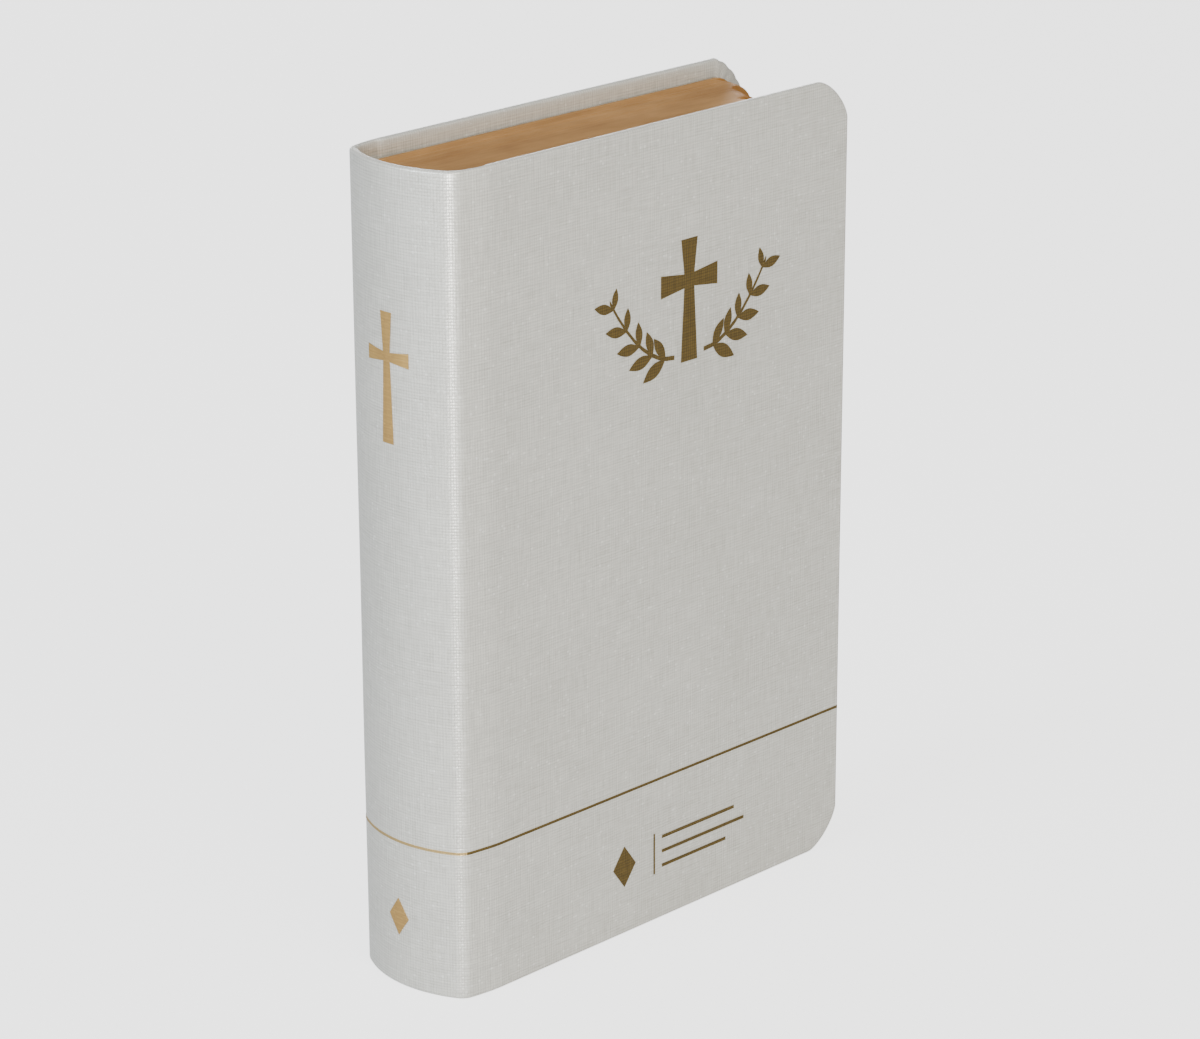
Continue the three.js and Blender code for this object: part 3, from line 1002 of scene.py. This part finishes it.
@dataclass
class Pastedown(BookPart):
    """The half of an endpaper that is glued to a cover, running on over the joint to the first fold."""

    side: Side
    paper: float = 0.15 * MM
    margin: float = 4.4 * MM
    case: float = 1.62 * MM
    joint_case: float = 1.16 * MM
    start_x: float = 6.6 * MM
    fine_step: float = 0.5 * MM
    flat_step: float = 6 * MM

    def build(self) -> bpy.types.Object:
        """Builds a thin closed sheet along the inside of the cover."""
        end = self.profile.length - self.margin
        begin = self.profile.distance_at(self.sizes.spine_x + self.start_x)
        fine_end = begin + 12 * MM
        low, high = self.margin, self.sizes.height - self.margin
        verts = []
        reach = CORNER_REACH - self.margin
        stations = []
        s = begin
        while s < end - reach - 0.1 * MM:
            stations.append((s, 0.0))
            s += self.fine_step if s < fine_end else self.flat_step
        corner_steps = 12
        for k in range(corner_steps + 1):
            out, along = corner_point(math.pi / 2 * k / corner_steps)
            stations.append((end - reach * (1 - out), reach * (1 - along)))
        rows = 24
        for layer in (0.0, self.paper):
            for s, pulled in stations:
                near = eased((self.profile.distance_at(self.sizes.hinge_x + 2.5 * MM) - s) / (2.5 * MM))
                depth = lerp(self.case, self.joint_case, near) + layer
                x, y = self.profile.at(self.side, s, depth)
                for j in range(rows + 1):
                    verts.append((x, y, lerp(low + pulled, high - pulled, j / rows)))
        faces = closed_sheet_faces(len(stations), rows)
        piece = mesh_object(f"{self.side.label}_endpaper_half", verts, faces)
        store_places(piece, ENDPAPER.place, verts)
        face_outwards(piece)
        sharpen(piece, 40)
        return piece

    def dress(self, piece: bpy.types.Object) -> None:
        """Gives the sheet its paper and bakes its placement."""
        clear_slots(piece, self.shop.material(ENDPAPER))
        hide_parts(f"{self.side.label}_pastedown")
        bend_at_joint(piece)


def closed_sheet_faces(columns: int, rows: int) -> list[tuple]:
    """Faces of a sheet given as two layers of columns, with its rim closed.

    Args:
        columns: Columns in each layer.
        rows: Spaces between the points of a column.

    Returns:
        The faces, both layers and the rim.
    """
    width = rows + 1
    layer = columns * width
    faces = []
    for base in (0, layer):
        for i in range(columns - 1):
            for j in range(rows):
                a = base + i * width + j
                faces.append((a, a + width, a + width + 1, a + 1))
    for i in range(columns - 1):
        for j in (0, rows):
            a, b = i * width + j, (i + 1) * width + j
            faces.append((a, b, b + layer, a + layer))
    for i in (0, columns - 1):
        for j in range(rows):
            a = i * width + j
            faces.append((a, a + 1, a + 1 + layer, a + layer))
    return faces


# ----------------------------------------------------------------------
# The text block
# ----------------------------------------------------------------------


@dataclass
class ForeEdge:
    """The fore-edge of the leaves, which leans and hollows smoothly and steps in from group to group."""

    knots: list[Point2]
    corner: float = 7.2 * MM
    corner_sway: float = 0.73
    group: float = 7 * MM
    group_from: float = 5.6 * MM
    step: float = 1.9 * MM

    def smooth(self, y: float) -> float:
        """The fore-edge without its steps: straight between the middles of the sections."""
        if y <= self.knots[0][0]:
            return self.knots[0][1]
        for (y0, x0), (y1, x1) in zip(self.knots, self.knots[1:]):
            if y <= y1:
                return lerp(x0, x1, (y - y0) / (y1 - y0))
        return self.knots[-1][1]

    def at(self, y: float) -> float:
        """The fore-edge of the leaf at y."""
        share = ((self.group_from - y) / self.group) % 1.0
        return self.smooth(y) + self.step * (share - eased(share / 0.2))

    def corner_at(self, y: float) -> float:
        """Radius of the rounded corners of the leaf at y: larger where the leaves stand in."""
        mean = sum(x for _, x in self.knots) / len(self.knots)
        return self.corner - self.corner_sway * (self.smooth(y) - mean)


@dataclass
class PageStack(BookPart):
    """A stack of leaves between two planes: a section, or a single flyleaf.

    Its edges are built leaf bundle by leaf bundle, each a little further out or in than the next.
    """

    name: str
    body: str
    nodes: tuple[str, ...]
    outer: float
    inner: float
    fore_edge: ForeEdge
    bundles: int = 6
    uneven: float = 0.08 * MM
    inside: float = 2.5 * MM
    bend_step: float = 0.7 * MM
    gutter_step: float = 1.4 * MM
    printed: bool = True
    edge_faces: int = field(init=False, default=0)

    def columns(self, fold_x: float, fore_x: float, corner: float) -> list[Point2]:
        """Columns from the fold to the fore-edge, as many whatever the fore-edge is.

        Args:
            fold_x: Where the stack's fold is.
            fore_x: Where its fore-edge is.
            corner: Radius of its rounded corners.

        Returns:
            For each column, its x and how far its ends are pulled in by the rounded corners.
        """
        bend_from, bend_to = self.sizes.hinge_x - 5 * MM, self.sizes.hinge_x + 9 * MM
        found, x = [], fold_x
        while x < bend_to:
            found.append((x, 0.0))
            x += self.bend_step if x > bend_from else self.gutter_step
        flat, steps = 14, 10
        found += [(lerp(bend_to, fore_x - corner, k / flat), 0.0) for k in range(flat)]
        for k in range(steps + 1):
            a = math.pi / 2 * k / steps
            found.append((fore_x - corner * (1 - math.sin(a)), corner * (1 - math.cos(a))))
        return found

    def held(self, x: float, y: float) -> float:
        """A distance y from the middle, kept inside the case's joint at x."""
        distance = self.profile.distance_at(max(x, self.sizes.spine_x + 4.6 * MM))
        limit = -self.profile.at(Side.FRONT, distance, self.inside - 0.4 * MM)[1]
        return math.copysign(min(abs(y), limit), y)

    def loose(self, y: float) -> float:
        """How far the heights of the leaves at y follow their unevenness: only near the back cover."""
        return 0.35 * eased((y / self.sizes.half - 0.1) / 0.4)

    def build(self) -> bpy.types.Object:
        """Builds the stack as one closed mesh."""
        fold_x = self.profile.round_x(max(abs(self.outer), abs(self.inner)), self.inside)
        sheets = []
        for b in range(self.bundles):
            spot = Vector((self.outer / MM * 3.1 + b * 0.77, b * 1.3, 0.5))
            move = self.uneven * noise.noise(spot) * 2 if self.bundles > 1 else 0.0
            middle = lerp(self.outer, self.inner, (b + 0.5) / self.bundles)
            fore_x = self.fore_edge.at(middle) + move
            columns = self.columns(fold_x, fore_x, self.fore_edge.corner_at(middle))
            for share in (b / self.bundles, (b + 1) / self.bundles):
                sheets.append((lerp(self.outer, self.inner, share), self.loose(middle) * move, columns))
        for end, y in ((0, self.outer), (-1, self.inner)):
            rim = self.columns(fold_x, self.fore_edge.at(y), self.fore_edge.corner_at(y))
            sheets[end] = (y, 0.0, rim)
        verts, faces = [], []
        count = len(sheets[0][2])
        width = 2 * count
        for y, lift, columns in sheets:
            for x, pulled in columns:
                for z in (self.sizes.page_low + pulled - lift, self.sizes.page_high - pulled + lift):
                    verts.append((x, self.held(x, y), z))
        for k in range(len(sheets) - 1):
            for i in range(count - 1):
                for end in (0, 1):
                    a = k * width + 2 * i + end
                    faces.append((a, a + 2, a + 2 + width, a + width))
            for i in (0, count - 1):
                a = k * width + 2 * i
                faces.append((a, a + 1, a + 1 + width, a + width))
        self.edge_faces = len(faces)
        for k in (0, len(sheets) - 1):
            for i in range(count - 1):
                a = k * width + 2 * i
                faces.append((a, a + 2, a + 3, a + 1))
        piece = mesh_object(self.name, verts, faces, smooth=False)
        store_places(piece, GILT.place, [(x - fold_x, y, z - self.sizes.page_low) for x, y, z in verts])
        face_outwards(piece)
        return piece

    def dress(self, piece: bpy.types.Object) -> None:
        """Gives the stack its gilt edges and paper faces, and bakes its placement."""
        face = LEAF if self.printed else ENDPAPER
        clear_slots(piece, self.shop.material(GILT), self.shop.material(face))
        for polygon in piece.data.polygons:
            polygon.material_index = 0 if polygon.index < self.edge_faces else 1
        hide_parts(*self.nodes)
        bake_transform(piece)


def page_stacks(shop: Workshop, sizes: BookSizes, profile: CaseProfile) -> list[PageStack]:
    """The fourteen sections and the two flyleaves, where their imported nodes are.

    Args:
        shop: Makes the materials.
        sizes: The book's sizes.
        profile: The case's profile.

    Returns:
        One stack for each.
    """
    leaves = sorted(n for n in frame["nodes"] if n.endswith("_leaves"))
    boxes = [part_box(node) for node in leaves]
    fore_edge = ForeEdge([((low[1] + high[1]) / 2, high[0]) for low, high in boxes])
    thickness = boxes[1][0][1] - boxes[0][0][1]
    stacks = []
    for number, (node, (low, high)) in enumerate(zip(leaves, boxes)):
        outer = low[1] if number < len(leaves) // 2 else high[1]
        inner = outer - math.copysign(thickness, outer)
        body = node.removesuffix("_leaves")
        stacks.append(PageStack(shop, sizes, profile, f"{body}_pages", body, (node, f"{body}_fold"),
                                outer, inner, fore_edge))
    for side in Side:
        body = f"{side.label}_flyleaf"
        low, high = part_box(body)
        outer, inner = (low[1], high[1]) if side is Side.FRONT else (high[1], low[1])
        stacks.append(PageStack(shop, sizes, profile, f"{body}_sheet", body, (body,), outer, inner, fore_edge,
                                bundles=1, inside=2.1 * MM, printed=False))
    return stacks


# ----------------------------------------------------------------------
# Bands and sewing, laid along a path by Geometry Nodes
# ----------------------------------------------------------------------


def wrapped_path_tree(material: bpy.types.Material) -> bpy.types.NodeTree:
    """A core along a curve with turns of thread round it.

    Args:
        material: What the finished mesh is made of.

    Returns:
        A tree with the inputs Core Radius, Thread Radius and Pitch.
    """
    tree = bpy.data.node_groups.new("wrapped_path", "GeometryNodeTree")
    tree.interface.new_socket("Geometry", in_out="INPUT", socket_type="NodeSocketGeometry")
    for label, value in (("Core Radius", 0.7 * MM), ("Thread Radius", 0.17 * MM), ("Pitch", 0.36 * MM)):
        socket = tree.interface.new_socket(label, in_out="INPUT", socket_type="NodeSocketFloat")
        socket.default_value = value
    tree.interface.new_socket("Geometry", in_out="OUTPUT", socket_type="NodeSocketGeometry")
    w = NodeWriter(tree)
    start, end = w.add("NodeGroupInput"), w.add("NodeGroupOutput")
    path, core, thread, pitch = start.outputs[:4]
    core_ring = w.add("GeometryNodeCurvePrimitiveCircle", None, Resolution=16, Radius=core)
    tube = w.add("GeometryNodeCurveToMesh", None,
                 Curve=path, Profile_Curve=core_ring.outputs[0], Fill_Caps=True)
    spaced = w.add("GeometryNodeResampleCurve", {"mode": "LENGTH"}, Curve=path, Length=pitch)
    tangent = w.add("GeometryNodeInputTangent")
    align = w.add("FunctionNodeAlignRotationToVector", {"axis": "Z"}, Vector=tangent.outputs[0])
    loop = w.add("GeometryNodeCurvePrimitiveCircle", None, Resolution=14, Radius=core)
    section = w.add("GeometryNodeCurvePrimitiveCircle", None, Resolution=6, Radius=thread)
    turn = w.add("GeometryNodeCurveToMesh", None, Curve=loop.outputs[0], Profile_Curve=section.outputs[0])
    copies = w.add("GeometryNodeInstanceOnPoints", None,
                   Points=spaced.outputs[0], Instance=turn.outputs[0], Rotation=align.outputs[0])
    joined = w.add("GeometryNodeJoinGeometry")
    for strand in (tube, copies):
        w.feed(joined, i0=strand.outputs[0])
    real = w.add("GeometryNodeRealizeInstances", None, Geometry=joined.outputs[0])
    painted = w.add("GeometryNodeSetMaterial", None, Geometry=real.outputs[0], Material=material)
    w.feed(end, i0=painted.outputs[0])
    return tree


@dataclass
class WrappedCord(BookPart):
    """A headband, a tailband or a row of sewing: a core wrapped in thread, laid along the folds."""

    name: str
    node: str
    inside: float
    finish: Finish
    core: float
    thread: float
    pitch: float
    reach: float = 10.2 * MM

    def path(self) -> bpy.types.Object:
        """A curve across the spine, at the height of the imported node."""
        low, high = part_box(self.node)
        curve = bpy.data.curves.new(f"{self.name}_path", "CURVE")
        curve.dimensions = "3D"
        spline = curve.splines.new("POLY")
        steps = 30
        spline.points.add(steps)
        for i in range(steps + 1):
            y = lerp(-self.reach, self.reach, i / steps)
            spline.points[i].co = (self.profile.round_x(y, self.inside), y, (low[2] + high[2]) / 2, 1.0)
        return add_object(curve.name, curve)

    def build(self) -> bpy.types.Object:
        """Builds the cord's mesh from its path, which is then removed."""
        path = self.path()
        tree = wrapped_path_tree(self.shop.material(self.finish))
        modifier = path.modifiers.new("wraps", "NODES")
        modifier.node_group = tree
        sockets = [item.identifier for item in tree.interface.items_tree if item.in_out == "INPUT"][1:]
        for identifier, value in zip(sockets, (self.core, self.thread, self.pitch)):
            modifier[identifier] = value
        graph = bpy.context.evaluated_depsgraph_get()
        mesh = bpy.data.meshes.new_from_object(path.evaluated_get(graph))
        bpy.data.objects.remove(path)
        for polygon in mesh.polygons:
            polygon.use_smooth = True
        piece = add_object(self.name, mesh)
        face_outwards(piece)
        return piece

    def dress(self, piece: bpy.types.Object) -> None:
        """Gives the cord its thread, and leaves it on the spine."""
        clear_slots(piece, self.shop.material(self.finish))
        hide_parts(self.node)
        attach(piece, ROOT)


def spine_cords(shop: Workshop, sizes: BookSizes, profile: CaseProfile) -> list[WrappedCord]:
    """Both bands and the three rows of sewing.

    Args:
        shop: Makes the materials.
        sizes: The book's sizes.
        profile: The case's profile.

    Returns:
        One cord for each.
    """
    cords = []
    for node in ("headband", "tailband"):
        cords.append(WrappedCord(shop, sizes, profile, f"{node}_wraps", node, 3.35 * MM, BAND,
                                 core=0.62 * MM, thread=0.17 * MM, pitch=0.33 * MM))
    for number in (1, 2, 3):
        node = f"sewing_thread_{number}"
        cords.append(WrappedCord(shop, sizes, profile, f"{node}_row", node, 2.38 * MM, SEWING,
                                 core=0.05 * MM, thread=0.05 * MM, pitch=0.3 * MM))
    return cords


# ----------------------------------------------------------------------
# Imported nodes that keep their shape
# ----------------------------------------------------------------------

KEPT_NODES: dict[Finish, tuple[str, ...]] = {
    BOARD: ("front_board", "back_board", "spine_inlay"),
    KRAFT: ("spine_lining",),
    GAUZE: ("spine_mull",),
    COVER_FOIL: ("front_cross", "front_branch_left", "front_branch_right", "front_foot_lozenge",
                 "front_foot_bar", "front_foot_rule_1", "front_foot_rule_2", "front_foot_rule_3"),
    SPINE_FOIL: ("spine_cross", "spine_foot_lozenge"),
}


def dress_kept_nodes(shop: Workshop) -> None:
    """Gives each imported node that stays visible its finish."""
    for finish, nodes in KEPT_NODES.items():
        for node in nodes:
            clear_slots(frame["nodes"][node], shop.material(finish))
        log.info("%s: %d packed nodes", finish.name, len(nodes))


# ----------------------------------------------------------------------
# Studio
# ----------------------------------------------------------------------


@dataclass
class Studio:
    """Camera, lights and floor."""

    eye: Vector = field(default_factory=lambda: Vector((-0.53645, -0.5338, 0.3525)))
    forward: Vector = field(default_factory=lambda: Vector((0.66826, 0.66445, -0.33457)))
    roll: float = math.radians(-0.205)
    lens: float = 119.68
    floor_glow: float = 2.4

    def camera(self) -> None:
        """Sets the camera up."""
        data = bpy.data.cameras.new("camera")
        data.lens, data.sensor_width = self.lens, 36.0
        data.clip_start, data.clip_end = 0.01, 20.0
        piece = add_object("camera", data)
        forward = self.forward.normalized()
        level = forward.cross(Vector((0, 0, 1))).normalized()
        upward = level.cross(forward)
        right = level * math.cos(self.roll) + upward * math.sin(self.roll)
        up = upward * math.cos(self.roll) - level * math.sin(self.roll)
        rotation = Matrix((right, up, -forward)).transposed().to_4x4()
        piece.matrix_world = Matrix.Translation(self.eye) @ rotation
        bpy.context.scene.camera = piece

    def light(self, name: str, place: Sequence[float], target: Sequence[float], size: Sequence[float],
              power: float, colour: Sequence[float] = (1.0, 1.0, 1.0)) -> None:
        """Adds a rectangular soft light.

        Args:
            name: The light's name.
            place: Where it stands.
            target: What it points at.
            size: Its width and height.
            power: Its power in watts.
            colour: Its colour.
        """
        data = bpy.data.lights.new(name, "AREA")
        data.shape = "RECTANGLE"
        data.energy, data.size, data.size_y, data.color = power, size[0], size[1], tuple(colour)
        piece = add_object(name, data)
        piece.location = place
        aim = Vector(target) - Vector(place)
        piece.rotation_euler = aim.to_track_quat("-Z", "Y").to_euler()

    def floor(self) -> None:
        """Adds the plain pale floor."""
        side = 6.0
        piece = mesh_object("floor", [(-side, -side, 0), (side, -side, 0), (side, side, 0), (-side, side, 0)],
                            [(0, 1, 2, 3)])
        material = bpy.data.materials.new("pale_floor")
        material.use_nodes = True
        writer = NodeWriter(material.node_tree)
        seen = writer.add("ShaderNodeLightPath").outputs["Is Camera Ray"]
        writer.feed(material.node_tree.nodes["Principled BSDF"], Base_Color=(0.42, 0.42, 0.42, 1.0),
                    Roughness=0.9, Specular_IOR_Level=0.1, Emission_Color=(1.0, 1.0, 1.0, 1.0),
                    Emission_Strength=writer.times(seen, self.floor_glow))
        piece.data.materials.append(material)

    def build(self) -> None:
        """Builds the whole studio."""
        self.camera()
        world = bpy.data.worlds.new("studio")
        bpy.context.scene.world = world
        world.use_nodes = True
        background = world.node_tree.nodes["Background"]
        background.inputs[0].default_value = (1.0, 1.0, 1.0, 1.0)
        background.inputs[1].default_value = 0.42
        centre = (0.0, 0.0, 0.085)
        self.light("strip", (-0.95, -0.95, 0.2), centre, (0.09, 0.38), 21.0)
        self.light("front_key", (-0.35, -1.7, 1.1), centre, (1.1, 1.1), 25.5, (1.0, 0.955, 0.82))
        self.light("spine_side", (-1.6, 0.15, 0.8), centre, (0.8, 0.8), 25.0, (0.78, 0.9, 1.0))
        self.light("overhead", (0.1, 0.3, 1.6), centre, (1.2, 1.2), 6.0)
        self.light("far_fill", (1.0, 1.4, 0.22), centre, (1.0, 0.3), 8.0)
        self.floor()


def main() -> None:
    """Builds the book from the outside in, and reports each piece."""
    logging.basicConfig(level=logging.INFO, format="%(name)s: %(message)s")
    Studio().build()
    shop = Workshop()
    sizes = BookSizes()
    profile = CaseProfile(sizes)
    rule_low, rule_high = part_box("front_rule")
    for side in Side:
        skin = ClothSkin(shop, sizes, profile, side)
        skin.make()
        CoverRule(shop, sizes, profile, skin, rule_low[2], rule_high[2]).make()
        Pastedown(shop, sizes, profile, side).make()
    for part in page_stacks(shop, sizes, profile) + spine_cords(shop, sizes, profile):
        part.make()
    dress_kept_nodes(shop)


if __name__ == "__main__":
    main()
